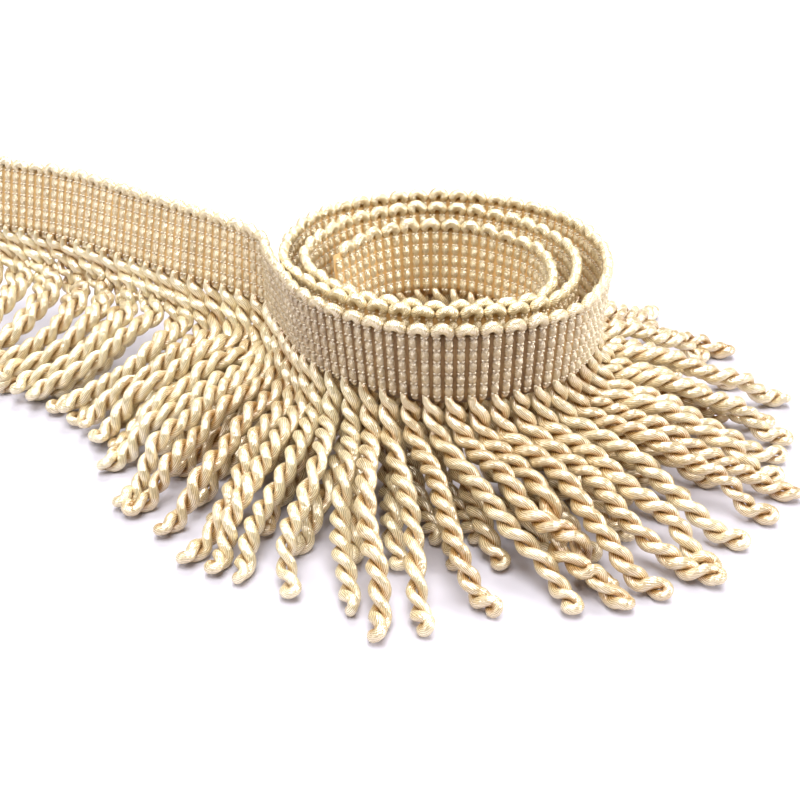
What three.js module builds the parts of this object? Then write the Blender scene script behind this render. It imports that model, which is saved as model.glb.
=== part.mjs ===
import * as THREE from 'three';

// Cord fringe trim: a narrow woven heading with twisted cords hanging from its lower edge.
// It stands on its cords, wound in a loose coil of three turns, with its outer end trailing away.
// Millimetres, +Z up, standing on z = 0, with the origin under the middle of the whole trim.

// Heading
const HEADING_TOP = 61.4;
const HEADING_HEIGHT = 26.5;
const RIB_THICKNESS = 2.8;
const VALLEY_THICKNESS = 1.6;
const SCALLOP_DIP = 2.2;
const SCALLOP_SHOULDER = 0.6;

// Cords, each hanging under the dip between two scallops
const CORD_COUNT = 140;
const CORDS_PER_STRIP = 5;
const CORD_WIDTH = 4.2;
const STRIP_HEIGHT = 2.2;
const STRIP_THICKNESS = 2.6;
const PIECE_GAP = 0.3;

// Where the coil's axis stands
const COIL_X = 44.3;
const COIL_Y = 0.07;

// Plan of the heading's top edge. The trailing end is given from its cut end to the coil, by
// distance from the coil's axis. The coil goes by front, right, back and left, an eighth of a turn
// a column, and each row starts where the one above it stops.
const TRAILING_END = [
  { x: -176, y: 91 },
  { x: -154, y: 84 },
  { x: -129, y: 73 },
  { x: -108, y: 58 },
  { x: -84, y: 40 },
  { x: -67, y: 26.5 },
  { x: -55.5, y: 14 },
];
const COIL = [
  { left: 52.4, frontLeft: 49.4 },
  {
    front: 52.9, frontRight: 55.3, right: 52, backRight: 52,
    back: 52.4, backLeft: 52.6, left: 47.8, frontLeft: 41.6,
  },
  {
    front: 41.1, frontRight: 46.5, right: 42.3, backRight: 38.6,
    back: 41, backLeft: 40.8, left: 41.4, frontLeft: 37.8,
  },
  {
    front: 37.2, frontRight: 42.3, right: 33, backRight: 25.8,
    back: 25.5, backLeft: 26.8, left: 32.5,
  },
];
const STEPS_PER_TURN = 8;
const STEPS_BEFORE_FRONT = TRAILING_END.length + Object.keys(COIL[0]).length;

// How the trim hangs, by turns past the front of the outer turn.
// lean: how far the heading's top edge stands out past its lower edge, or behind it where negative.
// reach: how far a cord's tip lies from its root, and bearing: which way, in degrees from front to right.
// bow: how far the cord bulges along the trim on its way down.
// bend and drop: how far out and how far down its first bend is, and full: how round its fall is.
// ride: how high its middle runs where it crosses the tips of the cords under it.
// stray: its share of the unevenness from cord to cord.
const HANG = [
  { turn: -1.125, lean: -7, reach: 50, bearing: -30, bow: 13, bend: 4.5, drop: 10, full: 0.8, ride: 2.4, stray: 0 },
  { turn: -0.875, lean: -8, reach: 48, bearing: -33, bow: 15, bend: 4.5, drop: 10, full: 0.8, ride: 2.4, stray: 0.1 },
  { turn: -0.625, lean: -6, reach: 53, bearing: -44, bow: 11, bend: 5, drop: 10, full: 0.9, ride: 5, stray: 0.1 },
  { turn: -0.375, lean: 0, reach: 63, bearing: -52, bow: 5, bend: 6.5, drop: 9, full: 1, ride: 14, stray: 0.1 },
  { turn: -0.25, lean: 2, reach: 67, bearing: -47, bow: 2, bend: 7, drop: 8, full: 1, ride: 14.6, stray: 0.25 },
  { turn: -0.125, lean: 2.5, reach: 66, bearing: -14, bow: 0, bend: 6, drop: 8, full: 1, ride: 8.8, stray: 0.8 },
  { turn: 0.0, lean: 2.5, reach: 67, bearing: 33, bow: 0, bend: 6, drop: 8, full: 1, ride: 8.8, stray: 0.8 },
  { turn: 0.1, lean: 2.5, reach: 64, bearing: 54, bow: 0, bend: 6, drop: 8, full: 1, ride: 8.8, stray: 0.8 },
  { turn: 0.25, lean: 2.5, reach: 61, bearing: 95, bow: 0, bend: 6, drop: 8, full: 1, ride: 8.8, stray: 1 },
  { turn: 0.5, lean: 2.5, reach: 61, bearing: 182, bow: 0, bend: 6, drop: 8, full: 1, ride: 8.8, stray: 1 },
  { turn: 0.68, lean: 2.5, reach: 50, bearing: 253, bow: 0, bend: 5, drop: 10, full: 0.8, ride: 8.2, stray: 0.6 },
  { turn: 0.85, lean: 2.5, reach: 50, bearing: 330, bow: 0, bend: 4, drop: 12, full: 0.6, ride: 7.8, stray: 0.5 },
  { turn: 1.25, lean: 2.5, reach: 53, bearing: 472, bow: 0, bend: 4, drop: 12, full: 0.6, ride: 7.8, stray: 0.5 },
  { turn: 1.65, lean: 2.5, reach: 44.5, bearing: 618, bow: 0, bend: 3.5, drop: 13, full: 0.6, ride: 7.8, stray: 0.5 },
  { turn: 1.85, lean: 2.5, reach: 42, bearing: 698, bow: 0, bend: 1.6, drop: 20, full: 0.1, ride: 2.4, stray: 0.4 },
  { turn: 2.75, lean: 2.5, reach: 38, bearing: 1012, bow: 0, bend: 1.6, drop: 20, full: 0.1, ride: 2.4, stray: 0.4 },
];

// A cord's fall past its first bend: its share of the reach, of the bow, and of the height over its ride.
// Past the last row it comes down and lies level on the surface from the landing to the tip.
const FALL = [
  { reach: 0.38, bow: 1.0, height: 0.46 },
  { reach: 0.56, bow: 0.8, height: 0.2 },
  { reach: 0.74, bow: 0.4, height: 0.0 },
];
const LANDING = 0.88;
const LANDING_CURL = 0.5;
const FIRST_BEND_BOW = 0.8;

// Unevenness from cord to cord: two waves out of step, the most that each quantity strays, and its phase.
const WAVES = [
  { share: 0.6, perCord: 2.399, perPhase: 1 },
  { share: 0.4, perCord: 0.73, perPhase: 2.1 },
];
const UNEVEN = {
  bearing: { most: 2.5, phase: 1 },
  reach: { most: 3.5, phase: 2 },
  curl: { most: 2.2, phase: 3 },
};

const rayonHeading = new THREE.MeshStandardMaterial({ color: 0xdcc597, roughness: 0.5, metalness: 0 });
const rayonCord = new THREE.MeshStandardMaterial({ color: 0xe9d8ae, roughness: 0.42, metalness: 0 });

// The heading's top edge as one smooth line in plan.
function headingLine() {
  const points = TRAILING_END.map(({ x, y }) => new THREE.Vector3(x + COIL_X, y + COIL_Y, 0));
  const distances = COIL.flatMap((row) => Object.values(row));
  distances.forEach((distance, step) => {
    const angle = ((step - Object.keys(COIL[0]).length) / STEPS_PER_TURN) * 2 * Math.PI;
    const way = new THREE.Vector3(Math.sin(angle), -Math.cos(angle), 0);
    points.push(new THREE.Vector3(COIL_X, COIL_Y, 0).addScaledVector(way, distance));
  });
  const line = new THREE.CatmullRomCurve3(points, false, 'catmullrom', 0.5);
  line.arcLengthDivisions = 4000;
  return line;
}

const line = headingLine();
const lineLength = line.getLength();
const cordPitch = lineLength / CORD_COUNT;

// The hang between two rows of the table.
function hangAt(turn) {
  const next = HANG.findIndex((row) => row.turn >= turn);
  const last = HANG[next === -1 ? HANG.length - 1 : next];
  const first = next > 0 ? HANG[next - 1] : last;
  const share = last.turn > first.turn ? (turn - first.turn) / (last.turn - first.turn) : 0;
  const between = {};
  for (const column of Object.keys(first)) {
    between[column] = THREE.MathUtils.lerp(first[column], last[column], share);
  }
  return between;
}

// The heading's top and foot in plan, the way out from the coil, and the hang, at a distance along the trim.
function stationAt(distance) {
  const share = THREE.MathUtils.clamp(distance / lineLength, 0, 1);
  const top = line.getPointAt(share);
  const along = line.getTangentAt(share);
  const out = new THREE.Vector3(along.y, -along.x, 0);
  const step = line.getUtoTmapping(share) * (line.points.length - 1);
  const hang = hangAt((step - STEPS_BEFORE_FRONT) / STEPS_PER_TURN);
  const foot = top.clone().addScaledVector(out, -hang.lean);
  return { top, foot, out, hang };
}

// How far one cord strays in one quantity, so that no two neighbouring cords are alike.
function uneven(cord, { most, phase }) {
  const wave = ({ share, perCord, perPhase }) => share * Math.sin(perCord * cord + perPhase * phase);
  return most * WAVES.reduce((sum, row) => sum + wave(row), 0);
}

// A closed mesh collected corner by corner.
class Shell {
  constructor() {
    this.positions = [];
    this.faces = [];
  }

  corner(point) {
    this.positions.push(point.x, point.y, point.z);
    return this.positions.length / 3 - 1;
  }

  quad(a, b, c, d) {
    this.faces.push(a, b, c, a, c, d);
  }

  // The side between edge p-q of one section and the same edge of the next.
  side(section, next, p, q) {
    this.quad(section[p], section[q], next[q], next[p]);
  }

  mesh(name, material) {
    const geometry = new THREE.BufferGeometry();
    geometry.setAttribute('position', new THREE.Float32BufferAttribute(this.positions, 3));
    geometry.setIndex(this.faces);
    geometry.computeVertexNormals();
    const mesh = new THREE.Mesh(geometry, material);
    mesh.name = name;
    return mesh;
  }
}

// A four-cornered section across the trim: inner top, outer top, outer bottom, inner bottom.
function bandSection(shell, topPoint, footPoint, out, topZ, footZ, thickness) {
  const at = (point, side, z) => {
    const corner = point.clone().addScaledVector(out, (side * thickness) / 2);
    return shell.corner(corner.setZ(z));
  };
  return [at(topPoint, -1, topZ), at(topPoint, 1, topZ), at(footPoint, 1, footZ), at(footPoint, -1, footZ)];
}

// The woven heading: ribs raised on both faces. Two ribs join over the top edge as a scallop, and the
// two ribs on either side of a dip between scallops run out below as the plies of one cord.
function buildHeading() {
  const shell = new Shell();
  const ribs = [
    { thickness: VALLEY_THICKNESS, dip: 0 },
    { thickness: RIB_THICKNESS, dip: SCALLOP_SHOULDER },
    { thickness: VALLEY_THICKNESS, dip: SCALLOP_DIP },
    { thickness: RIB_THICKNESS, dip: SCALLOP_SHOULDER },
  ];
  const sections = [];
  for (let column = 0; column <= CORD_COUNT * ribs.length; column += 1) {
    const { top, foot, out } = stationAt((column / ribs.length) * cordPitch);
    const { thickness, dip } = ribs[column % ribs.length];
    const topZ = HEADING_TOP - dip;
    sections.push(bandSection(shell, top, foot, out, topZ, HEADING_TOP - HEADING_HEIGHT, thickness));
  }
  closeBand(shell, sections, () => false);
  return shell.mesh('heading', rayonHeading);
}

// Joins sections into a closed band, with a gap in its underside wherever a cord grows out of it.
function closeBand(shell, sections, cordBetween) {
  for (let index = 0; index + 1 < sections.length; index += 1) {
    const section = sections[index];
    const next = sections[index + 1];
    shell.side(section, next, 0, 1);
    shell.side(section, next, 1, 2);
    shell.side(section, next, 3, 0);
    if (!cordBetween(index)) {
      shell.side(section, next, 2, 3);
    }
  }
  const start = sections[0];
  const end = sections[sections.length - 1];
  shell.quad(start[3], start[2], start[1], start[0]);
  shell.quad(end[0], end[1], end[2], end[3]);
}

// The middle line of a cord below its root, as points and the way across it.
function cordFall(cord) {
  const { foot, hang } = stationAt((cord + 0.5) * cordPitch);
  const bearing = THREE.MathUtils.degToRad(hang.bearing + hang.stray * uneven(cord, UNEVEN.bearing));
  const reach = hang.reach + hang.stray * uneven(cord, UNEVEN.reach);
  const curl = hang.stray * uneven(cord, UNEVEN.curl);
  const ahead = new THREE.Vector3(Math.sin(bearing), -Math.cos(bearing), 0);
  const across = new THREE.Vector3(Math.cos(bearing), Math.sin(bearing), 0);
  const rootZ = HEADING_TOP - HEADING_HEIGHT - PIECE_GAP - STRIP_HEIGHT;
  const restZ = CORD_WIDTH / 2;
  const place = (forward, sideways, z) =>
    foot.clone().addScaledVector(ahead, forward).addScaledVector(across, sideways).setZ(z);
  const points = [foot.clone().setZ(rootZ), place(hang.bend, FIRST_BEND_BOW * hang.bow, rootZ - hang.drop)];
  for (const row of FALL) {
    const sideways = row.bow * hang.bow + curl * row.reach * (1 - row.reach);
    const height = THREE.MathUtils.lerp(hang.ride, rootZ, hang.full * row.height);
    points.push(place(row.reach * reach, sideways, height));
  }
  points.push(place(LANDING * reach, LANDING_CURL * curl, restZ));
  points.push(place(reach, curl, restZ));
  return { points, across };
}

// One cord as a square bar grown from its root on the strip, its last stretch flat on the surface.
function growCord(shell, root, { points, across }) {
  const up = new THREE.Vector3(0, 0, 1);
  const landing = points.length - 2;
  let section = root;
  for (let index = 1; index < points.length; index += 1) {
    const before = points[index - 1];
    const after = points[Math.min(index + 1, points.length - 1)];
    const heading = after.clone().sub(before).normalize();
    const over = index >= landing ? up : heading.clone().cross(across).normalize();
    const corner = (side, lift) =>
      shell.corner(
        points[index]
          .clone()
          .addScaledVector(across, (side * CORD_WIDTH) / 2)
          .addScaledVector(over, (lift * CORD_WIDTH) / 2),
      );
    const next = [corner(-1, -1), corner(1, -1), corner(1, 1), corner(-1, 1)];
    for (let edge = 0; edge < 4; edge += 1) {
      shell.side(section, next, edge, (edge + 1) % 4);
    }
    section = next;
  }
  shell.quad(section[0], section[1], section[2], section[3]);
}

// A length of the strip under the heading with the cords that are fused into it.
function buildFringe(strip) {
  const shell = new Shell();
  const firstCord = strip * CORDS_PER_STRIP;
  const start = firstCord * cordPitch + PIECE_GAP / 2;
  const end = (firstCord + CORDS_PER_STRIP) * cordPitch - PIECE_GAP / 2;
  const columns = [start];
  for (let cord = firstCord; cord < firstCord + CORDS_PER_STRIP; cord += 1) {
    const middle = (cord + 0.5) * cordPitch;
    columns.push(middle - CORD_WIDTH / 2, middle + CORD_WIDTH / 2);
  }
  columns.push(end);
  const topZ = HEADING_TOP - HEADING_HEIGHT - PIECE_GAP;
  const sections = columns.map((distance) => {
    const { foot, out } = stationAt(distance);
    return bandSection(shell, foot, foot, out, topZ, topZ - STRIP_HEIGHT, STRIP_THICKNESS);
  });
  closeBand(shell, sections, (index) => index % 2 === 1);
  for (let nth = 0; nth < CORDS_PER_STRIP; nth += 1) {
    const near = sections[2 * nth + 1];
    const far = sections[2 * nth + 2];
    growCord(shell, [near[3], far[3], far[2], near[2]], cordFall(firstCord + nth));
  }
  return shell.mesh(`fringe_${String(strip + 1).padStart(2, '0')}`, rayonCord);
}

const trim = new THREE.Group();
trim.add(buildHeading());
for (let strip = 0; strip < CORD_COUNT / CORDS_PER_STRIP; strip += 1) {
  trim.add(buildFringe(strip));
}

export default trim;
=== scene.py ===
import math

import bpy
import numpy as np
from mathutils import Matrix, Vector
from mathutils.kdtree import KDTree


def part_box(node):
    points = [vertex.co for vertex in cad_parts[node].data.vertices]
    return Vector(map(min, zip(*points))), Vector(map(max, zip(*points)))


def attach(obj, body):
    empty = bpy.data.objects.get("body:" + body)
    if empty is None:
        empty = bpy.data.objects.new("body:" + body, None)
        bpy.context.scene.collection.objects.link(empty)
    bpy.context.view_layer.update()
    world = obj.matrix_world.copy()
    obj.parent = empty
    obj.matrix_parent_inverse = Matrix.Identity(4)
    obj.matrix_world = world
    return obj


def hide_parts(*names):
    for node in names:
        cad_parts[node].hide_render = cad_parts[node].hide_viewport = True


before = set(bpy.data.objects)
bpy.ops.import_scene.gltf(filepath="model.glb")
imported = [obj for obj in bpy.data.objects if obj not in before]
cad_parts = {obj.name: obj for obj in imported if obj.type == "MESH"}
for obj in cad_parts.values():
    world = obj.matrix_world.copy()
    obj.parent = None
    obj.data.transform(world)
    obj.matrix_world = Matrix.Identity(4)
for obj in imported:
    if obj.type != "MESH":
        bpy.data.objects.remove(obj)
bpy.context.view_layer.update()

# Heading, weft: a thick silky gimp yarn, rayon filament wound on a cotton core, woven up and down as
# ribs. Each two ribs are joined over the top edge by a loop, which makes the scallops, and the two ribs
# on either side of a dip run out below the lower edge as the plies of one cord.
MM = 0.001
heading_low, heading_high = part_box("heading")
HEADING_FOOT = heading_low.z
HEADING_HEIGHT = heading_high.z - heading_low.z
CORD_COUNT = 140

# Plan of the top edge in millimetres from the coil's axis: the trailing end from its cut end to the coil,
# then the coil's distance from its axis, an eighth of a turn apart, from the left of its outer turn.
COIL_AXIS = np.array([44.3, 0.07])
TRAILING_END = [(-176, 91), (-154, 84), (-129, 73), (-108, 58), (-84, 40), (-67, 26.5), (-55.5, 14)]
LEAD_IN = [52.4, 49.4]
OUTER_TURN = [52.9, 55.3, 52, 52, 52.4, 52.6, 47.8, 41.6]
MIDDLE_TURN = [41.1, 46.5, 42.3, 38.6, 41, 40.8, 41.4, 37.8]
INNER_TURN = [37.2, 42.3, 33, 25.8, 25.5, 26.8, 32.5]
STEPS_PER_TURN = 8

# How far the top edge stands out past the lower one, or behind it where negative, in millimetres, by
# turns past the front.
LEAN_TURNS = [-1.125, -0.875, -0.625, -0.375, -0.25, -0.125]
LEANS = [-7, -8, -6, 0, 2, 2.5]


def smooth_line(points, per_span):
    """Points of a smooth curve through the given ones, so many from each to the next."""
    points = np.asarray(points, float)
    line = np.vstack([2 * points[0] - points[1], points, 2 * points[-1] - points[-2]])
    start, stop = line[1:-2, None], line[2:-1, None]
    leaving = (line[2:-1] - line[:-3])[:, None] / 2
    arriving = (line[3:] - line[1:-2])[:, None] / 2
    t = np.linspace(0, 1, per_span, endpoint=False)[None, :, None]
    blend = t * t * (3 - 2 * t)
    curve = start + (stop - start) * blend
    curve = curve + leaving * t * (1 - t) ** 2 - arriving * t * t * (1 - t)
    return np.vstack([curve.reshape(-1, points.shape[1]), points[-1]])


def lengths_along(line):
    """Distance from the start to each point of a line."""
    return np.concatenate([[0], np.cumsum(np.linalg.norm(np.diff(line, axis=0), axis=1))])


PLAN_STEPS = 160
coil_reach = np.array(LEAD_IN + OUTER_TURN + MIDDLE_TURN + INNER_TURN)
coil_angle = (np.arange(len(coil_reach)) - len(LEAD_IN)) * 2 * math.pi / STEPS_PER_TURN
coil_points = coil_reach[:, None] * np.stack([np.sin(coil_angle), -np.cos(coil_angle)], -1)
plan = smooth_line((np.vstack([TRAILING_END, coil_points]) + COIL_AXIS) * MM, PLAN_STEPS)
plan_length = lengths_along(plan)
steps_before_front = len(TRAILING_END) + len(LEAD_IN)
plan_turn = (np.arange(len(plan)) / PLAN_STEPS - steps_before_front) / STEPS_PER_TURN
plan_way = np.gradient(plan, plan_length, axis=0)
TRIM_LENGTH = plan_length[-1]
CORD_PITCH = TRIM_LENGTH / CORD_COUNT


def unit(vectors):
    """The vectors at length one."""
    return vectors / np.linalg.norm(vectors, axis=-1, keepdims=True)


def along_trim(distance):
    """The top edge in plan, the ways along and out of it, and the turn, at distances along the trim."""
    top = np.stack([np.interp(distance, plan_length, plan[:, axis]) for axis in (0, 1)], -1)
    way = unit(np.stack([np.interp(distance, plan_length, plan_way[:, axis]) for axis in (0, 1)], -1))
    out = np.stack([way[..., 1], -way[..., 0]], -1)
    return top, way, out, np.interp(distance, plan_length, plan_turn)


def in_heading(distance, height, proud=0.0):
    """Points of the heading at distances along it and heights over its lower edge, with the way out."""
    top, _, out, turn = along_trim(distance)
    lean = np.interp(turn, LEAN_TURNS, LEANS) * MM * (1 - height / HEADING_HEIGHT)
    flat = top + out * (proud - lean)[..., None]
    point = np.concatenate([flat, (HEADING_FOOT + height)[..., None]], -1)
    return point, np.concatenate([out, np.zeros_like(out[..., :1])], -1)


INNER_SIDE = -0.1   # a tube's side is an inner one past this cosine of the angle from the way out


def yarn_tubes(lines, outs, widths, depths, sides, tones, slant, painted_inner_shading=0.0):
    """Closed tubes along lines, oval in section, with filament lines wound round them at a slant.

    The slant is how far a filament runs along the yarn in one round, in millimetres. The tone is one value
    for a tube or one for each of its rings, and its inner side is higher by what the last argument gives,
    which paints light on the heading's inner face and shade where a cord's plies meet."""
    count, rings = lines.shape[:2]
    ways = unit(np.gradient(lines, axis=1))
    across = unit(np.cross(ways, outs))
    outs = np.cross(across, ways)
    angle = np.arange(sides) * 2 * math.pi / sides
    corners = lines[:, :, None] + (widths[..., None] * np.sin(angle))[..., None] * across[:, :, None]
    corners = corners + (depths[..., None] * np.cos(angle))[..., None] * outs[:, :, None]
    steps = np.linalg.norm(np.diff(lines, axis=1), axis=2)
    run = np.concatenate([np.zeros((count, 1)), np.cumsum(steps, axis=1)], axis=1)
    corner = np.arange(count * rings * sides).reshape(count, rings, sides)
    ahead = np.roll(corner, -1, axis=2)
    walls = np.stack([corner[:, :-1], corner[:, 1:], ahead[:, 1:], ahead[:, :-1]], -1).reshape(-1, 4)
    near = np.arange(sides // 2 - 1)
    strip = np.stack([near, near + 1, sides - 2 - near, sides - 1 - near], -1)
    lids = np.concatenate([corner[:, 0][:, strip], corner[:, -1][:, strip[:, ::-1]]]).reshape(-1, 4)
    round_start = np.broadcast_to(np.arange(sides) / sides, (count, rings - 1, sides))
    round_stop = round_start + 1 / sides
    run_start = np.broadcast_to(run[:, :-1, None], round_start.shape)
    run_stop = np.broadcast_to(run[:, 1:, None], round_start.shape)
    along = np.stack([run_start, run_stop, run_stop, run_start], -1)
    around = np.stack([round_start, round_start, round_stop, round_stop], -1)
    wound = np.stack([along / MM + slant * around, around], -1).reshape(-1, 4, 2)
    tones = tones.reshape(count, -1, 1) + np.zeros((1, rings, 1)) + painted_inner_shading * (np.cos(angle) < INNER_SIDE)
    return {
        "corners": corners.reshape(-1, 3),
        "quads": np.concatenate([walls, lids]),
        "wound": np.concatenate([wound, np.zeros((len(lids), 4, 2))]),
        "tones": tones.ravel(),
    }


def yarn_piece(name, batches, material):
    """One joined mesh of several batches of tubes, with each face's place on its yarn and its tone."""
    firsts = np.cumsum([0] + [len(batch["corners"]) for batch in batches[:-1]])
    quads = np.concatenate([batch["quads"] + first for batch, first in zip(batches, firsts)])
    corners = np.concatenate([batch["corners"] for batch in batches])
    mesh = bpy.data.meshes.new(name)
    mesh.vertices.add(len(corners))
    mesh.vertices.foreach_set("co", corners.ravel())
    mesh.loops.add(quads.size)
    mesh.loops.foreach_set("vertex_index", quads.ravel().astype(np.int32))
    mesh.polygons.add(len(quads))
    mesh.polygons.foreach_set("loop_start", np.arange(0, quads.size, 4, dtype=np.int32))
    mesh.update(calc_edges=True)
    mesh.validate()
    mesh.shade_smooth()
    wound = mesh.uv_layers.new(name="wound")
    wound.data.foreach_set("uv", np.concatenate([batch["wound"] for batch in batches]).ravel())
    tone = mesh.attributes.new("tone", "FLOAT", "POINT")
    tone.data.foreach_set("value", np.concatenate([batch["tones"] for batch in batches]))
    piece = bpy.data.objects.new(name, mesh)
    bpy.context.scene.collection.objects.link(piece)
    mesh.materials.append(material)
    return piece


def linear(hex_colour):
    """An sRGB hex colour as linear values."""
    shares = [int(hex_colour[place:place + 2], 16) / 255 for place in (1, 3, 5)]
    return [s / 12.92 if s <= 0.04045 else ((s + 0.055) / 1.055) ** 2.4 for s in shares] + [1.0]


def add_node(tree, kind, settings, inputs):
    """A node with its settings, its inputs set to values or linked to sockets."""
    node = tree.nodes.new(kind)
    for name, value in settings.items():
        setattr(node, name, value)
    for name, value in inputs.items():
        if isinstance(value, bpy.types.NodeSocket):
            tree.links.new(value, node.inputs[name])
        else:
            node.inputs[name].default_value = value
    return node


# Rayon gimp: bright viscose filament wound close round a soft core. It gives silky white lights that are
# drawn out along the yarn, or across it with a turn of the gloss, fine lines where the filaments lie, and
# honey where yarns meet. Its many filaments glint more than one smooth face of viscose would, so the yarn
# is a little metallic and its IOR is over the 1.53 of viscose.
FILAMENT_MM = 0.42   # real filaments are finer: drawn as coarse as they need to show
WAVE_UNIT = 2 * math.pi / 20   # scale at which a wave texture's bands are one unit apart
WINDING_ROUND = 5.0   # how much faster the lines waver round the yarn than along it
PATCH_MM, PATCH_SHARE = 6.0, 0.5   # patches of lighter and deeper yarn
SLUB_MM, SLUB_HEIGHT = 2.2, 9.0   # soft lumps in the yarn, their height in that of a filament
FILAMENT_SHARE = 0.18   # how much lighter a filament is than the lines beside it
FILAMENT_GLOSS = 0.12   # how much rougher it is than they are
FILAMENT_MIRROR, FILAMENT_IOR = 0.25, 2.3


def rayon_gimp(name, light, deep, roughness, lustre, relief_mm, filament_mm=FILAMENT_MM, gloss_turn=0.0):
    """The yarn's material, light to deep by its tone, with its gloss turned by a share of a turn."""
    material = bpy.data.materials.new(name)
    material.use_nodes = True
    tree = material.node_tree
    tree.nodes.clear()
    place = add_node(tree, "ShaderNodeUVMap", {"uv_map": "wound"}, {})
    along = add_node(tree, "ShaderNodeTangent", {"direction_type": "UV_MAP", "uv_map": "wound"}, {})
    wound = add_node(
        tree, "ShaderNodeMapping", {},
        {"Vector": place.outputs["UV"], "Scale": (1, WINDING_ROUND, 1)},
    )
    winding = add_node(
        tree, "ShaderNodeTexWave", {"wave_type": "BANDS", "bands_direction": "X"},
        {"Vector": wound.outputs["Vector"], "Scale": WAVE_UNIT / filament_mm, "Distortion": 5.0,
         "Detail": 2.0, "Detail Scale": 0.9},
    )
    here = add_node(tree, "ShaderNodeTexCoord", {}, {})
    patches = add_node(
        tree, "ShaderNodeTexNoise", {},
        {"Vector": here.outputs["Object"], "Scale": 1 / (PATCH_MM * MM), "Detail": 3.0},
    )
    slubs = add_node(
        tree, "ShaderNodeTexNoise", {},
        {"Vector": here.outputs["Object"], "Scale": 1 / (SLUB_MM * MM), "Detail": 2.0},
    )
    surface = add_node(
        tree, "ShaderNodeMath", {"operation": "MULTIPLY_ADD"},
        {0: slubs.outputs["Fac"], 1: SLUB_HEIGHT, 2: winding.outputs["Fac"]},
    )
    tone = add_node(tree, "ShaderNodeAttribute", {"attribute_name": "tone"}, {})
    uneven_tone = add_node(
        tree, "ShaderNodeMath", {"operation": "MULTIPLY_ADD"},
        {0: patches.outputs["Fac"], 1: PATCH_SHARE, 2: tone.outputs["Fac"]},
    )
    share = add_node(
        tree, "ShaderNodeMath", {"operation": "MULTIPLY_ADD", "use_clamp": True},
        {0: winding.outputs["Fac"], 1: FILAMENT_SHARE, 2: uneven_tone.outputs["Value"]},
    )
    colour = add_node(
        tree, "ShaderNodeMix", {"data_type": "RGBA"},
        {0: share.outputs["Value"], 6: linear(deep), 7: linear(light)},
    )
    gloss = add_node(
        tree, "ShaderNodeMath", {"operation": "MULTIPLY_ADD"},
        {0: winding.outputs["Fac"], 1: FILAMENT_GLOSS, 2: roughness - FILAMENT_GLOSS / 2},
    )
    relief = add_node(
        tree, "ShaderNodeBump", {},
        {"Height": surface.outputs["Value"], "Strength": 1.0, "Distance": relief_mm * MM},
    )
    silk = add_node(
        tree, "ShaderNodeBsdfPrincipled", {},
        {"Base Color": colour.outputs[2], "Normal": relief.outputs["Normal"],
         "Roughness": gloss.outputs["Value"], "Metallic": FILAMENT_MIRROR * lustre,
         "Specular IOR Level": lustre, "IOR": FILAMENT_IOR,
         "Anisotropic": 0.7, "Anisotropic Rotation": gloss_turn, "Tangent": along.outputs["Tangent"],
         "Sheen Weight": 0.1, "Sheen Roughness": 0.3},
    )
    add_node(tree, "ShaderNodeOutputMaterial", {}, {"Surface": silk.outputs["BSDF"]})
    return material


draw = np.random.default_rng(7)
ROW_COUNT = 6
ROW_PITCH = 3.85 * MM
FIRST_ROW = 2.5 * MM
RINGS_PER_ROW = 6
RIB_START = -1
RIB_STOP = (ROW_COUNT - 1) * RINGS_PER_ROW + 1
RIB_SIDES = 8
RIB_WINDINGS = -10   # filaments that a line passes in one round, a whole number so that it meets itself

# Tone of the yarn, by turns past the front, from 0 for its deep colour to 1 for its light one. Painted
# light
# and shade are in it: it is deepest round the front of the coil, which is painted shade, and lighter on the
# trailing end and from the coil's right on, which is painted light. The heading's inner face is lighter
# too, painted light, and the loops are lighter towards their crowns, a painted highlight.
PAINTED_LIGHT_TURNS = [-0.45, -0.2, 0.08, 0.17, 0.6]
TONES_AND_PAINTED_LIGHT = [0.45, -0.07, -0.07, 0.5, 0.55]
TONE_UNEVEN = 0.1
# Painted light: how much lighter the heading's inner face is.
PAINTED_LIGHT_INSIDE = 0.8
# Painted highlight: how much lighter a loop is at its crown.
PAINTED_LOOP_HIGHLIGHT = 0.55

# Half the width and depth of a rib from one pinch to the next, and the sizes of a loop.
BEAD_WIDTH = np.array([0.8, 1.12, 1.3, 1.34, 1.3, 1.12]) * MM
BEAD_DEPTH = np.array([0.5, 1.05, 1.4, 1.5, 1.4, 1.05]) * MM
LOOP_YARN = 1.62 * MM
LOOP_NECK = 0.97
RIB_REACH = CORD_PITCH / 4
LOOP_REACH = 1.95 * MM
LOOP_RISE = 1.7 * MM
LOOP_RINGS = 13
LOOP_MIDDLE = HEADING_HEIGHT - LOOP_RISE - LOOP_YARN

rib_rings = np.arange(RIB_START, RIB_STOP + 1)
rib_height = FIRST_ROW + rib_rings * ROW_PITCH / RINGS_PER_ROW
rib_width = BEAD_WIDTH[rib_rings % RINGS_PER_ROW]
rib_depth = BEAD_DEPTH[rib_rings % RINGS_PER_ROW]
loop_angle = np.linspace(0, math.pi, LOOP_RINGS)

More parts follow.
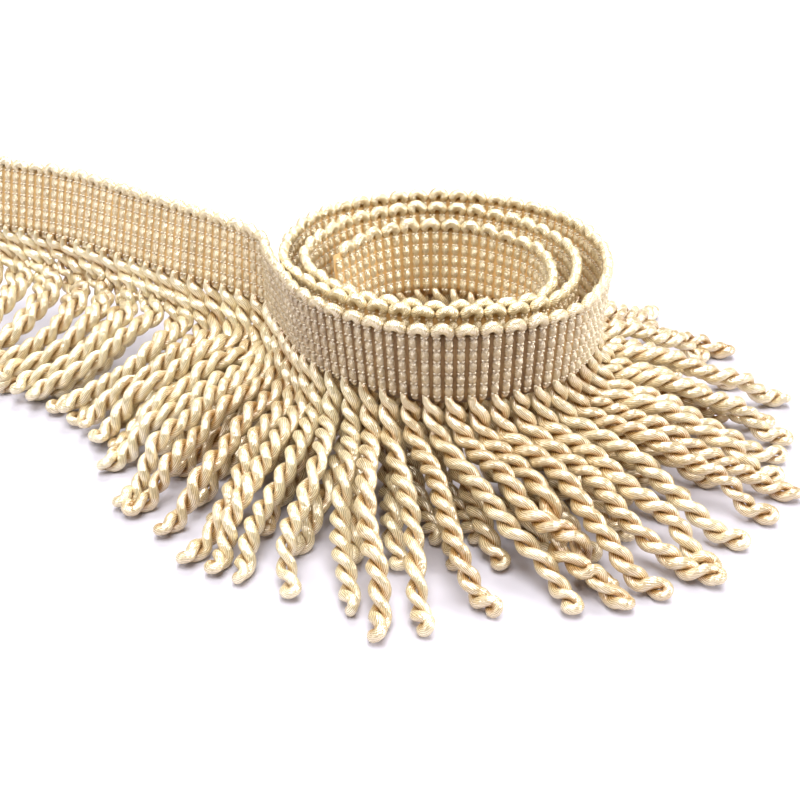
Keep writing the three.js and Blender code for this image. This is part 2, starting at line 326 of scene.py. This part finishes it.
# Each loop stands, leans, swells and bows out a little differently.
LOOP_RISES, LOOP_LEANS, LOOP_SWELLS, LOOP_BOWS = (0.75, 1.1), (-0.35, 0.35), (0.94, 1.03), (-0.3, 0.3)
loops = np.arange(1, CORD_COUNT)[:, None]
loop_rise = LOOP_RISE * draw.uniform(*LOOP_RISES, loops.shape) * np.sin(loop_angle)
loop_lean = draw.uniform(*LOOP_LEANS, loops.shape) * loop_rise
loop_swell = draw.uniform(*LOOP_SWELLS, loops.shape)
loop_proud = draw.uniform(*LOOP_BOWS, loops.shape) * MM * np.sin(loop_angle)
up_rib = np.broadcast_to(rib_height, (len(loops), len(rib_height)))
hairpin_distance = np.concatenate([
    np.broadcast_to(loops * CORD_PITCH - RIB_REACH, up_rib.shape),
    loops * CORD_PITCH - LOOP_REACH * np.cos(loop_angle) + loop_lean,
    np.broadcast_to(loops * CORD_PITCH + RIB_REACH, up_rib.shape),
], axis=1)
hairpin_height = np.concatenate([up_rib, LOOP_MIDDLE + loop_rise, up_rib[:, ::-1]], axis=1)
hairpin_proud = np.concatenate([np.zeros_like(up_rib), loop_proud, np.zeros_like(up_rib)], axis=1)
loop_size = LOOP_YARN * loop_swell * (LOOP_NECK + (1 - LOOP_NECK) * np.sin(loop_angle))
rib_widths = np.broadcast_to(rib_width, up_rib.shape)
rib_depths = np.broadcast_to(rib_depth, up_rib.shape)
_, _, _, loop_turn = along_trim(loops[:, 0] * CORD_PITCH)
# Each yarn's tone: the painted light and shade by turn, and a little that differs at random.
yarn_tones_and_painted_light = np.interp(loop_turn, PAINTED_LIGHT_TURNS, TONES_AND_PAINTED_LIGHT) + draw.uniform(-TONE_UNEVEN, TONE_UNEVEN, len(loops))
rib_tones_and_painted_light = np.broadcast_to(yarn_tones_and_painted_light[:, None], up_rib.shape)
# Painted highlight: each loop grows lighter towards its crown.
loop_tones_and_painted_light = yarn_tones_and_painted_light[:, None] + PAINTED_LOOP_HIGHLIGHT * np.sin(loop_angle)
hairpin_tones_and_painted_light = np.concatenate([rib_tones_and_painted_light, loop_tones_and_painted_light, rib_tones_and_painted_light], axis=1)
hairpins, hairpin_outs = in_heading(hairpin_distance, hairpin_height, hairpin_proud)
weft = yarn_tubes(
    hairpins, hairpin_outs,
    np.concatenate([rib_widths, loop_size, rib_widths[:, ::-1]], axis=1),
    np.concatenate([rib_depths, loop_size, rib_depths[:, ::-1]], axis=1),
    RIB_SIDES, hairpin_tones_and_painted_light, FILAMENT_MM * RIB_WINDINGS, PAINTED_LIGHT_INSIDE,
)

# The first and the last rib stand alone, because the band is cut there.
end_distance = np.array([[RIB_REACH], [TRIM_LENGTH - RIB_REACH]]) * np.ones_like(rib_height)
end_ribs, end_outs = in_heading(end_distance, np.broadcast_to(rib_height, end_distance.shape))
lone_ribs = yarn_tubes(
    end_ribs, end_outs,
    np.broadcast_to(rib_width, end_distance.shape),
    np.broadcast_to(rib_depth, end_distance.shape),
    RIB_SIDES, np.zeros(len(end_ribs)), FILAMENT_MM * RIB_WINDINGS, PAINTED_LIGHT_INSIDE,
)

heading_rayon = rayon_gimp("rayon_gimp_heading", "#f5e1b2", "#9e7e4e", 0.23, 1.0, 0.08)
heading = yarn_piece("heading_weft", [weft, lone_ribs], heading_rayon)
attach(heading, "root")
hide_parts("heading")

# Heading, warp: fine twisted rayon threads in rows along the heading, two to a row, one passing in front
# of a rib and one behind it. They pinch the ribs into beads and show as bright dots beside each pinch.

# A thread past one rib: how far from the rib's middle, how far out, and half its thickness.
STITCH_PLACE = np.array([-1.1, -0.72, 0.0, 0.72, 1.1, RIB_REACH / MM]) * MM
STITCH_PROUD = np.array([0.04, 0.92, 0.3, 0.92, 0.04, 0.0]) * MM
STITCH_SIZE = np.array([0.1, 0.4, 0.2, 0.4, 0.1, 0.1]) * MM
THREAD_CROSSING = 0.25 * MM
THREAD_SIDES = 4
THREAD_TONE = 0.6
ribs = np.arange(2 * CORD_COUNT)
rows, faces = np.divmod(np.arange(2 * ROW_COUNT), 2)
rib_side = 1 - 2 * ((ribs + faces[:, None]) % 2)
thread_distance = ((ribs + 0.5) * CORD_PITCH / 2)[:, None] + STITCH_PLACE
thread_shape = (len(rows), thread_distance.size)
thread_distance = np.broadcast_to(thread_distance.ravel(), thread_shape)
thread_proud = (rib_side[..., None] * STITCH_PROUD).reshape(thread_shape)
thread_height = (FIRST_ROW + rows * ROW_PITCH)[:, None] + THREAD_CROSSING * np.sign(thread_proud)
thread_size = np.broadcast_to(np.tile(STITCH_SIZE, len(ribs)), thread_shape)
threads, thread_outs = in_heading(thread_distance, thread_height, thread_proud)
warp = yarn_tubes(
    threads, thread_outs, thread_size, thread_size,
    THREAD_SIDES, np.full(len(rows), THREAD_TONE), FILAMENT_MM,
)

thread_rayon = rayon_gimp("rayon_warp", "#ffeecf", "#f8e2ba", 0.25, 0.6, 0.02)
heading_warp = yarn_piece("heading_warp", [warp], thread_rayon)
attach(heading_warp, "root")

# Heading, ground: the flat filling warp of the weave, close-set dull rayon threads in the middle of the
# band. It hardly shows, but it closes the gaps between the ribs, which look brown and not see-through; its
# dark brown is painted shade for those gaps.
# Painted light: how much lighter the ground is on the heading's inner face.
GROUND_PAINTED_LIGHT_INSIDE = 0.2
GROUND_STEPS_PER_CORD = 4
GROUND_LOW = 0.3 * MM
GROUND_HIGH = 24.0 * MM
GROUND_HALF_THICKNESS = 0.4 * MM
ground_distance = np.linspace(0, TRIM_LENGTH, GROUND_STEPS_PER_CORD * CORD_COUNT + 1)
ground_foot, _ = in_heading(ground_distance, np.full(ground_distance.shape, GROUND_LOW))
ground_head, _ = in_heading(ground_distance, np.full(ground_distance.shape, GROUND_HIGH))
ground_line = (ground_foot + ground_head)[None] / 2
ground_up = unit(ground_head - ground_foot)[None]
ground_out = np.cross(np.gradient(ground_line, axis=1), ground_up)
_, _, _, ground_turn = along_trim(ground_distance)
# The ground takes the same painted light and shade by turn as the weft.
ground_tones_and_painted_light = np.interp(ground_turn, PAINTED_LIGHT_TURNS, TONES_AND_PAINTED_LIGHT)
ground_half = np.full(ground_line.shape[:2], (GROUND_HIGH - GROUND_LOW) / 2)
ground = yarn_tubes(
    ground_line, unit(ground_out), ground_half, np.full(ground_half.shape, GROUND_HALF_THICKNESS),
    RIB_SIDES, ground_tones_and_painted_light, FILAMENT_MM, GROUND_PAINTED_LIGHT_INSIDE,
)
# The ground's dark brown deep colour is painted shade in the gaps between the ribs.
ground_rayon_painted_shade = rayon_gimp("ground_rayon_painted_shade", "#dfb67a", "#3c1c10", 0.7, 0.1, 0.03)
heading_ground = yarn_piece("heading_ground", [ground], ground_rayon_painted_shade)
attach(heading_ground, "root")

# Cords: the weft yarn doubled and twisted on itself, so that each cord is two plies laid "\" with the
# yarn turning back at its end. They fall from the heading's lower edge and lie on what the trim stands on.
PLY = 1.54 * MM   # half a ply's thickness
TWIST_REACH = 1.58 * MM   # from the cord's middle to a ply's middle
TWIST_LENGTH = 12.8 * MM
REST_HEIGHT = PLY + TWIST_REACH
CORD_RINGS = 96
TURN_RINGS = 8
ROOT_RISE = 2.4 * MM   # how far a root reaches up into the heading
ROOT_LENGTH = 3.2 * MM
STRIP = 2.5 * MM   # height of the strips that hold the cords in the solids

# How the cords hang, by turns past the front of the outer turn, in millimetres and degrees: how far the
# tip lies from the root and which way from front to right, the bow along the trim, how far out and down
# the first bend is, how round the fall is, how high the middle rides on other cords, its share of
# unevenness, and how loosely it lies.
HANG_COLUMNS = ["turn", "reach", "bearing", "bow", "bend", "drop", "full", "ride", "stray", "loose"]
HANG_ROWS = np.array([
    (-1.125, 50, -30, 13, 4.5, 10, 0.8, 2.4, 0, 0.2),
    (-0.875, 48, -33, 15, 4.5, 10, 0.8, 2.4, 0.1, 0.3),
    (-0.625, 53, -44, 11, 5, 10, 0.9, 5, 0.1, 0.3),
    (-0.375, 63, -52, 5, 6.5, 9, 1, 14, 0.1, 0.4),
    (-0.25, 67, -47, 2, 7, 8, 1, 14.6, 0.25, 0.7),
    (-0.125, 66, -14, 0, 6, 8, 1, 8.8, 0.8, 1),
    (0.0, 67, 33, 0, 6, 8, 1, 8.8, 0.8, 1),
    (0.1, 64, 54, 0, 6, 8, 1, 8.8, 0.8, 1),
    (0.25, 61, 95, 0, 6, 8, 1, 8.8, 1, 1),
    (0.5, 61, 182, 0, 6, 8, 1, 8.8, 1, 1),
    (0.68, 50, 253, 0, 5, 10, 0.8, 8.2, 0.6, 0.5),
    (0.85, 50, 330, 0, 4, 12, 0.6, 7.8, 0.5, 0.5),
    (1.25, 53, 472, 0, 4, 12, 0.6, 7.8, 0.5, 0.5),
    (1.65, 44.5, 618, 0, 3.5, 13, 0.6, 7.8, 0.5, 0.3),
    (1.85, 42, 698, 0, 1.6, 20, 0.1, 2.4, 0.4, 0.2),
    (2.75, 38, 1012, 0, 1.6, 20, 0.1, 2.4, 0.4, 0.2),
])

# A cord's fall past its first bend: its share of the reach, of the bow, and of the height over its ride.
FALL = [(0.38, 1.0, 0.46), (0.56, 0.8, 0.2), (0.74, 0.4, 0.0)]
FALL_STEPS = 40
LANDING, LANDING_CURL, FIRST_BEND_BOW = 0.88, 0.5, 0.8

# How far cords stray in bearing, reach and curl, in two waves that don't keep step with their order.
STRAY_BEARING, STRAY_REACH, STRAY_CURL = 2.5, 3.5, 2.2
WAVES = [(0.6, 2.399, 1), (0.4, 0.73, 2.1)]


def uneven(cord, most, phase):
    """How far each cord strays in one quantity."""
    return most * sum(share * np.sin(step * cord + lag * phase) for share, step, lag in WAVES)


cords = np.arange(CORD_COUNT)
foot, _ = in_heading((cords + 0.5) * CORD_PITCH, np.zeros(CORD_COUNT))
_, foot_way, _, cord_turn = along_trim((cords + 0.5) * CORD_PITCH)
hang = {name: np.interp(cord_turn, HANG_ROWS[:, 0], HANG_ROWS[:, column])
        for column, name in enumerate(HANG_COLUMNS)}

# Loose lie: each cord turns, reaches and curls a little more or less, by so many degrees or millimetres.
# On the trailing end the cords lie in bunches, every other one piled on its neighbours. A cord's bend,
# landing and tip take a share of how far it is bunched and piled.
LOOSE_BEARING, LOOSE_REACH, LOOSE_CURL, LOOSE_WANDER, LOOSE_RIDE = 6.5, 5.5, 8.0, 3.0, 1.8
BUNCH, PILED, PILED_UNEVEN = 2.4, 4.6, (0.8, 1.1)
BUNCHED_PAST, BUNCHED_OVER = -0.33, 0.15
BEND_BUNCH, LANDING_BUNCH, TIP_BUNCH = 0.5, 0.8, 0.6
BEND_PILED, LANDING_PILED, TIP_PILED = 0.3, 0.8, 0.4
bunched = np.clip((BUNCHED_PAST - cord_turn) / BUNCHED_OVER, 0, 1)
bunch = BUNCH * bunched * draw.uniform(-1, 1, CORD_COUNT) * MM
piled = PILED * bunched * (cords % 2) * draw.uniform(*PILED_UNEVEN, CORD_COUNT) * MM
bearing = np.radians(
    hang["bearing"] + hang["stray"] * uneven(cords, STRAY_BEARING, 1)
    + hang["loose"] * LOOSE_BEARING * draw.uniform(-1, 1, CORD_COUNT))
reach = (hang["reach"] + hang["stray"] * uneven(cords, STRAY_REACH, 2)
         + hang["loose"] * LOOSE_REACH * draw.uniform(-1, 1, CORD_COUNT)) * MM
curl = (hang["stray"] * uneven(cords, STRAY_CURL, 3)
        + hang["loose"] * LOOSE_CURL * draw.uniform(-1, 1, CORD_COUNT)) * MM
level = np.zeros(CORD_COUNT)
ahead = np.stack([np.sin(bearing), -np.cos(bearing), level], -1)
aside = np.stack([np.cos(bearing), np.sin(bearing), level], -1)
root_height = HEADING_FOOT - STRIP


def on_cord(forward, sideways, height):
    """Points of all cords at distances ahead of their feet and to the side, at a height."""
    point = foot + ahead * forward[:, None] + aside * sideways[:, None]
    point[:, 2] = height
    return point


RIDE_CLEARANCE = 0.9 * MM
crossing = hang["loose"] * LOOSE_RIDE * (2 * (cords % 2) - 1) * MM
ride = np.maximum(hang["ride"] * MM + RIDE_CLEARANCE + crossing, REST_HEIGHT)
knots = [foot + [0, 0, ROOT_RISE], foot - [0, 0, STRIP]]
knots.append(on_cord(
    hang["bend"] * MM, FIRST_BEND_BOW * hang["bow"] * MM + BEND_BUNCH * bunch,
    root_height - hang["drop"] * MM + BEND_PILED * piled))
for reach_share, bow_share, height_share in FALL:
    sideways = bow_share * hang["bow"] * MM + curl * reach_share * (1 - reach_share) + bunch
    height = ride + (root_height - ride) * hang["full"] * height_share + piled
    knots.append(on_cord(reach_share * reach, sideways, height))
knots.append(on_cord(
    LANDING * reach, LANDING_CURL * curl + LANDING_BUNCH * bunch, REST_HEIGHT + LANDING_PILED * piled))
knots.append(on_cord(reach, curl + TIP_BUNCH * bunch, REST_HEIGHT + TIP_PILED * piled))
knots = np.stack(knots, 1)

# Each cord's middle line, which also wanders from side to side on its way down.
TIP_REACH = 1.62 * MM
WANDER_COUNTS, WANDER_SIZES = (0.8, 1.5), (0.3, 1)
middles = np.zeros((CORD_COUNT, CORD_RINGS, 3))
cord_length = np.zeros(CORD_COUNT)
for cord in cords:
    fall = smooth_line(knots[cord], FALL_STEPS)
    run = lengths_along(fall)
    cord_length[cord] = run[-1] - TIP_REACH - PLY
    stations = np.linspace(0, cord_length[cord], CORD_RINGS)
    middles[cord] = np.stack([np.interp(stations, run, fall[:, axis]) for axis in range(3)], -1)
run_share = np.linspace(0, 1, CORD_RINGS)
wander_phase = draw.uniform(0, 2 * math.pi, (CORD_COUNT, 1))
wander_count = draw.uniform(*WANDER_COUNTS, (CORD_COUNT, 1))
wander = np.sin(2 * math.pi * wander_count * run_share + wander_phase) * run_share
wander_size = hang["loose"] * LOOSE_WANDER * draw.uniform(*WANDER_SIZES, CORD_COUNT)
wander = wander * wander_size[:, None] * MM
middles = middles + aside[:, None] * wander[..., None]
middles[:, :, 2] = np.maximum(middles[:, :, 2], REST_HEIGHT)

# Where two cords would pass through each other they give way, and the upper one comes to ride on the
# lower. Near its root a cord is held. Every second ring is pushed, each push is spread over five of
# them, and the rings between follow.
CORD_APART = 5.8 * MM
NEAR = 10.0 * MM
OVER_BIAS = 0.8 * MM
GIVE = 0.3
GIVE_ROUNDS = 40
HELD_RINGS, FREE_RINGS = 6, 14
spots = middles[:, ::2].reshape(-1, 3)
spot_rings = CORD_RINGS // 2
spot_cord = np.repeat(cords, spot_rings)
tree = KDTree(len(spots))
for index, spot in enumerate(spots):
    tree.insert(spot, index)
tree.balance()
pairs = np.array([
    (index, other) for index, spot in enumerate(spots) for _, other, _ in tree.find_range(spot, NEAR)
    if spot_cord[other] > spot_cord[index]
])
higher = spots[pairs[:, 0], 2] >= spots[pairs[:, 1], 2]
over = np.where(higher, pairs[:, 0], pairs[:, 1])
under = np.where(higher, pairs[:, 1], pairs[:, 0])
free = np.clip((np.arange(spot_rings) - HELD_RINGS) / (FREE_RINGS - HELD_RINGS), 0, 1)[None, :, None]
settled = spots.copy()
for _ in range(GIVE_ROUNDS):
    gap = settled[over] - settled[under] + [0, 0, OVER_BIAS]
    apart = np.linalg.norm(gap, axis=1, keepdims=True)
    push = GIVE * np.clip(CORD_APART - apart, 0, None) * gap / apart
    moves = np.zeros_like(settled)
    np.add.at(moves, over, push)
    np.add.at(moves, under, -push)
    moves = np.pad(moves.reshape(CORD_COUNT, spot_rings, 3), ((0, 0), (2, 2), (0, 0)), mode="edge")
    moves = (moves[:, :-4] + moves[:, 1:-3] + moves[:, 2:-2] + moves[:, 3:-1] + moves[:, 4:]) / 5
    settled = settled + (moves * free).reshape(-1, 3)
    settled[:, 2] = np.maximum(settled[:, 2], REST_HEIGHT)
shift = (settled - spots).reshape(CORD_COUNT, spot_rings, 3)
between = np.concatenate([(shift[:, :-1] + shift[:, 1:]) / 2, shift[:, -1:]], axis=1)
middles = middles + np.stack([shift, between], axis=2).reshape(middles.shape)
middles[:, :, 2] = np.maximum(middles[:, :, 2], REST_HEIGHT)

# Ways along each cord, to its side and over it, carried down from its foot without a twist.
cord_ways = unit(np.gradient(middles, axis=1))
sides_way = np.zeros_like(middles)
side_now = np.concatenate([foot_way, np.zeros((CORD_COUNT, 1))], -1)
for ring in range(CORD_RINGS):
    way = cord_ways[:, ring]
    side_now = unit(side_now - way * np.sum(side_now * way, axis=1, keepdims=True))
    sides_way[:, ring] = side_now
over_way = np.cross(cord_ways, sides_way)

# The plies leave the two ribs beside a dip, lie round each other in whole half turns, so that most ends
# lie flat, and open a little where the yarn turns back. The twist and the yarn are a little uneven.
TIP_ROLL = 0.6
TIP_LENGTH = 5.0 * MM
TWIST_LENGTHS, TWIST_UNEVEN, TWIST_WAVES = (0.9, 1.12), 0.02, 2
PLY_SIZES, PLY_SWELLS, PLY_UNEVEN = (0.95, 1.04), (3, 7), 0.09
run = run_share * cord_length[:, None]
half_turns = np.round(2 * cord_length / (TWIST_LENGTH * draw.uniform(*TWIST_LENGTHS, CORD_COUNT)))
twist_whole = math.pi * half_turns + TIP_ROLL * draw.uniform(-1, 1, CORD_COUNT)
twist_slip = TWIST_UNEVEN * draw.uniform(-1, 1, (CORD_COUNT, 1))
twist_share = run_share + twist_slip * np.sin(2 * math.pi * TWIST_WAVES * run_share)
twist = math.pi - twist_whole[:, None] * twist_share
settle = np.clip(run / ROOT_LENGTH, 0, 1)
loosen = np.clip((run - cord_length[:, None] + TIP_LENGTH) / TIP_LENGTH, 0, 1)
twist_reach = RIB_REACH + (TWIST_REACH - RIB_REACH) * settle + (TIP_REACH - TWIST_REACH) * loosen
ply_way = np.cos(twist)[..., None] * sides_way + np.sin(twist)[..., None] * over_way
first_ply = middles + ply_way * twist_reach[..., None]
second_ply = middles - ply_way * twist_reach[..., None]
tip_angle = np.linspace(0, math.pi, TURN_RINGS + 2)[1:-1][:, None]
tip_way = np.cos(tip_angle) * ply_way[:, -1:] + np.sin(tip_angle) * cord_ways[:, -1:]
tip_turn = middles[:, -1:] + tip_way * TIP_REACH
cord_lines = np.concatenate([first_ply, tip_turn, second_ply[:, ::-1]], axis=1)
cord_outs = np.concatenate([ply_way, tip_way, -ply_way[:, ::-1]], axis=1)
ply_size = BEAD_WIDTH[1] + (PLY - BEAD_WIDTH[1]) * settle
tip_size = np.full((CORD_COUNT, TURN_RINGS), PLY)
cord_size = np.concatenate([ply_size, tip_size, ply_size[:, ::-1]], axis=1)
swell_phase = draw.uniform(0, 2 * math.pi, (CORD_COUNT, 1))
swell_count = draw.uniform(*PLY_SWELLS, (CORD_COUNT, 1))
along_yarn = np.linspace(0, 1, cord_size.shape[1])
cord_size = cord_size * draw.uniform(*PLY_SIZES, (CORD_COUNT, 1))
cord_size = cord_size * (1 + PLY_UNEVEN * np.sin(2 * math.pi * swell_count * along_yarn + swell_phase))
cord_lines[:, :, 2] = np.maximum(cord_lines[:, :, 2], cord_size)

# In a cord the twist lays the filaments along the cord, so that the gloss goes across the plies, in
# patches. The yarn is deeper in tone where its plies meet, which is painted shade, and lighter on the
# trailing end, which is painted light.
PLY_FILAMENT_MM = 0.72   # also drawn coarser than it is
PLY_WINDINGS = -17
PLY_SIDES = 10
QUARTER_TURN = 0.25
# Painted shade where a cord's plies meet, and painted light on the trailing end; the rest of a cord's tone
# differs at random.
CORD_TONES, PAINTED_LIGHT_TRAILING, PAINTED_SHADE_BETWEEN_PLIES = (0.1, 0.5), 0.2, -0.5
cord_rayon = rayon_gimp(
    "rayon_gimp_cord", "#f9ebc0", "#b88a42", 0.27, 1.0, 0.055, PLY_FILAMENT_MM, QUARTER_TURN)
# Each cord's tone differs at random, and the trailing end's cords get painted light.
cord_tones_and_painted_light = draw.uniform(*CORD_TONES, CORD_COUNT) + PAINTED_LIGHT_TRAILING * bunched
strip_names = sorted(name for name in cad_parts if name.startswith("fringe_"))
CORDS_PER_STRIP = CORD_COUNT // len(strip_names)
STRETCHES = ["trailing_end", "outer_turn", "middle_turn", "inner_turn"]
for names, stretch in zip(np.array_split(strip_names, len(STRETCHES)), STRETCHES):
    first = strip_names.index(names[0]) * CORDS_PER_STRIP
    held = slice(first, first + len(names) * CORDS_PER_STRIP)
    plies = yarn_tubes(
        cord_lines[held], cord_outs[held], cord_size[held], cord_size[held],
        PLY_SIDES, cord_tones_and_painted_light[held], PLY_FILAMENT_MM * PLY_WINDINGS, PAINTED_SHADE_BETWEEN_PLIES,
    )
    piece = yarn_piece("cords_" + stretch, [plies], cord_rayon)
    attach(piece, "root")
    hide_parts(*[str(name) for name in names])

# Floor: a plain white matt paper sheet, laid flat under the trim and on past the edges of every view.
# Its colour is a little under white and towards lilac, which the lights bring up to white with lilac shade.
FLOOR_HALF = 30.0
floor_mesh = bpy.data.meshes.new("floor")
floor_mesh.from_pydata(
    [(-FLOOR_HALF, -FLOOR_HALF, 0), (FLOOR_HALF, -FLOOR_HALF, 0), (FLOOR_HALF, FLOOR_HALF, 0),
     (-FLOOR_HALF, FLOOR_HALF, 0)], [], [(0, 1, 2, 3)])
floor = bpy.data.objects.new("floor", floor_mesh)
bpy.context.scene.collection.objects.link(floor)
paper = bpy.data.materials.new("white_paper")
paper.use_nodes = True
paper_shader = paper.node_tree.nodes["Principled BSDF"]
paper_shader.inputs["Base Color"].default_value = linear("#cfccd6")
paper_shader.inputs["Roughness"].default_value = 0.9
paper_shader.inputs["Specular IOR Level"].default_value = 0.1
floor_mesh.materials.append(paper)

# Light: a white photographer's tent, with a broad soft box over the coil, narrower ones behind it and at
# its two sides, and little light from the front, so that the silk shows bright bands against shade.
world = bpy.data.worlds.new("white_tent")
bpy.context.scene.world = world
world.use_nodes = True
tent = world.node_tree.nodes["Background"]
tent.inputs["Color"].default_value = linear("#fff6e6")
tent.inputs["Strength"].default_value = 0.12
for name, way, spread, strength in [
    ("soft_box_over", (0.0, -0.26, 1.0), 42, 3.3),
    ("soft_box_behind", (0.0, 0.6, 0.85), 26, 2.0),
    ("soft_box_right", (1.0, -0.1, 0.5), 30, 2.1),
    ("soft_box_left", (-0.9, -0.15, 0.65), 30, 1.15),
]:
    light = bpy.data.lights.new(name, "SUN")
    light.angle = math.radians(spread)
    light.energy = strength
    box = bpy.data.objects.new(name, light)
    box.rotation_euler = Vector(way).to_track_quat("Z", "Y").to_euler()
    bpy.context.scene.collection.objects.link(box)

# Camera: in front of the coil and above it, with its picture moved a little off the axis as in the
# photograph. Whites stay white in the standard view.
lens = bpy.data.cameras.new("camera")
lens.lens = 61.117
lens.sensor_width = 36.0
lens.shift_x = -0.0477
lens.shift_y = 0.0263
camera = bpy.data.objects.new("camera", lens)
camera.location = (0.0443, -0.38704, 0.22417)
camera.rotation_euler = (math.radians(59.925), 0.0, 0.0)
bpy.context.scene.collection.objects.link(camera)
bpy.context.scene.camera = camera
bpy.context.scene.view_settings.view_transform = "Standard"
